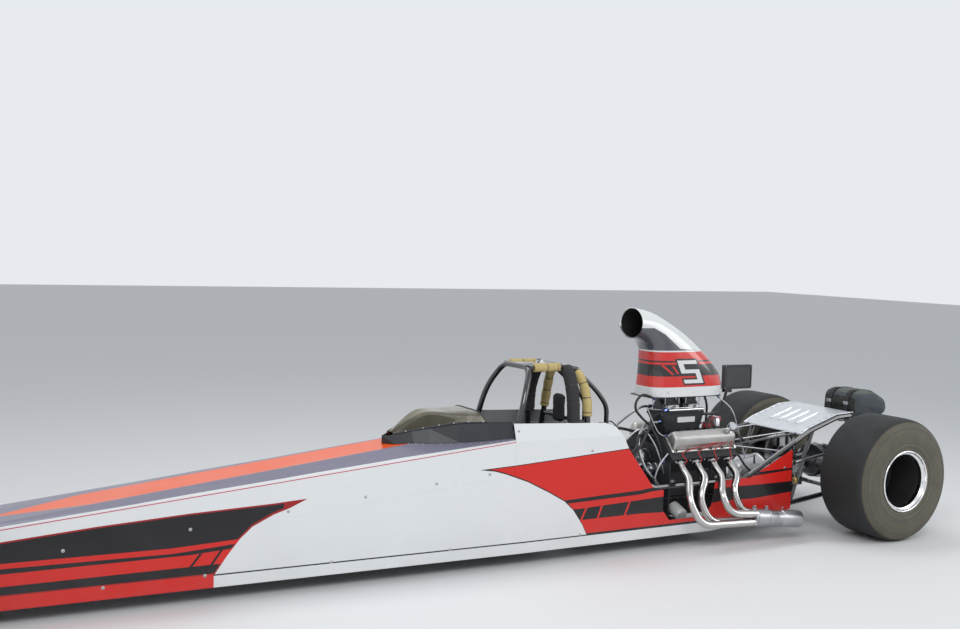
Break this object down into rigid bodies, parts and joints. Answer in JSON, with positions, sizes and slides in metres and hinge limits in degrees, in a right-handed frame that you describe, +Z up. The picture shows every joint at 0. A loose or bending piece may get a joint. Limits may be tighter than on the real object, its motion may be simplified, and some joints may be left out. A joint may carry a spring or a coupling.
{
  "type": "drag racing car",
  "caption": "Long, low single-seat drag racing car: rear engine under a tall forward-facing air scoop, roll cage, wide slick rear tyres, small steered front wheels and tapered panelled body.",
  "frame": {"origin": "on the road under the middle of the car's length, on its centre plane", "axes": "+X towards the nose, +Y to the car's left, +Z up"},
  "size_m": [7.4155, 1.744, 1.6],
  "materials": {
    "paint_white": "gloss",
    "paint_black": "gloss",
    "satin_black": "satin",
    "smoked_screen": "gloss",
    "foam": "matte",
    "cloth": "matte",
    "aluminium": "satin",
    "chrome": "polished",
    "steel": "satin",
    "rim": "polished",
    "rubber": "matte"
  },
  "bodies": {
    "chassis": {"air_scoop": "paint_white", "belly_pan": "satin_black", "cage_pad_left": "foam", "cage_pad_right": "foam", "carburettors": "aluminium", "cowl": "paint_black", "dash_panel": "satin_black", "dial_board": "satin_black", "engine_block": "satin_black", "firewall": "aluminium", "frame_front_left": "satin_black", "frame_front_right": "satin_black", "frame_rear_left": "satin_black", "frame_rear_right": "satin_black", "front_axle": "chrome", "front_drive": "aluminium", "head_pad": "cloth", "header_left": "chrome", "header_right": "chrome", "intake_manifold": "satin_black", "motor_plate": "satin_black", "nose_cone": "paint_white", "nose_cover": "paint_white", "nose_panel_left": "paint_white", "nose_panel_right": "paint_white", "pack_tray": "satin_black", "parachute_pack": "cloth", "radius_rod_left": "chrome", "radius_rod_right": "chrome", "rear_axle": "satin_black", "rear_deck": "aluminium", "roll_cage": "paint_black", "seat": "cloth", "side_panel_left": "paint_white", "side_panel_right": "paint_white", "top_cover": "paint_white", "transmission": "aluminium", "valve_cover_left": "aluminium", "valve_cover_right": "aluminium", "windscreen": "smoked_screen"},
    "knuckle_left": {"knuckle_left": "steel"},
    "knuckle_right": {"knuckle_right": "steel"},
    "wheel_front_left": {"tyre_front_left": "rubber", "rim_front_left": "aluminium"},
    "wheel_front_right": {"tyre_front_right": "rubber", "rim_front_right": "aluminium"},
    "wheel_rear_left": {"tyre_rear_left": "rubber", "rim_rear_left": "rim"},
    "wheel_rear_right": {"tyre_rear_right": "rubber", "rim_rear_right": "rim"},
    "tie_rod": {"tie_rod": "steel"},
    "steering_wheel": {"steering_wheel": "paint_black"}
  },
  "joints": [
    {"name": "steer_left", "type": "hinge", "parent": "chassis", "child": "knuckle_left", "pos_m": [3.11, 0.44, 0.28], "axis": [0, 0, 1], "range_deg": [-16, 16]},
    {"name": "steer_right", "type": "hinge", "parent": "chassis", "child": "knuckle_right", "pos_m": [3.11, -0.44, 0.28], "axis": [0, 0, 1], "range_deg": [-16, 16]},
    {"name": "tie_rod_pivot", "type": "hinge", "parent": "knuckle_left", "child": "tie_rod", "pos_m": [2.98, 0.44, 0.28], "axis": [0, 0, 1], "range_deg": [-16, 16]},
    {"name": "steering_wheel_turn", "type": "hinge", "parent": "chassis", "child": "steering_wheel", "pos_m": [-0.03, 0, 0.8], "axis": [-0.9734, 0, 0.229], "range_deg": [-96, 96]},
    {"name": "front_wheel_left_spin", "type": "hinge", "parent": "knuckle_left", "child": "wheel_front_left", "pos_m": [3.11, 0.52, 0.28], "axis": [0, 1, 0], "continuous": true},
    {"name": "rear_wheel_left_spin", "type": "hinge", "parent": "chassis", "child": "wheel_rear_left", "pos_m": [-3.11, 0.655, 0.434], "axis": [0, 1, 0], "continuous": true},
    {"name": "front_wheel_right_spin", "type": "hinge", "parent": "knuckle_right", "child": "wheel_front_right", "pos_m": [3.11, -0.52, 0.28], "axis": [0, 1, 0], "continuous": true},
    {"name": "rear_wheel_right_spin", "type": "hinge", "parent": "chassis", "child": "wheel_rear_right", "pos_m": [-3.11, -0.655, 0.434], "axis": [0, 1, 0], "continuous": true}
  ],
  "couplings": [
    {"joint": "steer_right", "follows": "steer_left", "ratio": 1},
    {"joint": "tie_rod_pivot", "follows": "steer_left", "ratio": -1},
    {"joint": "steering_wheel_turn", "follows": "steer_left", "ratio": 6}
  ]
}
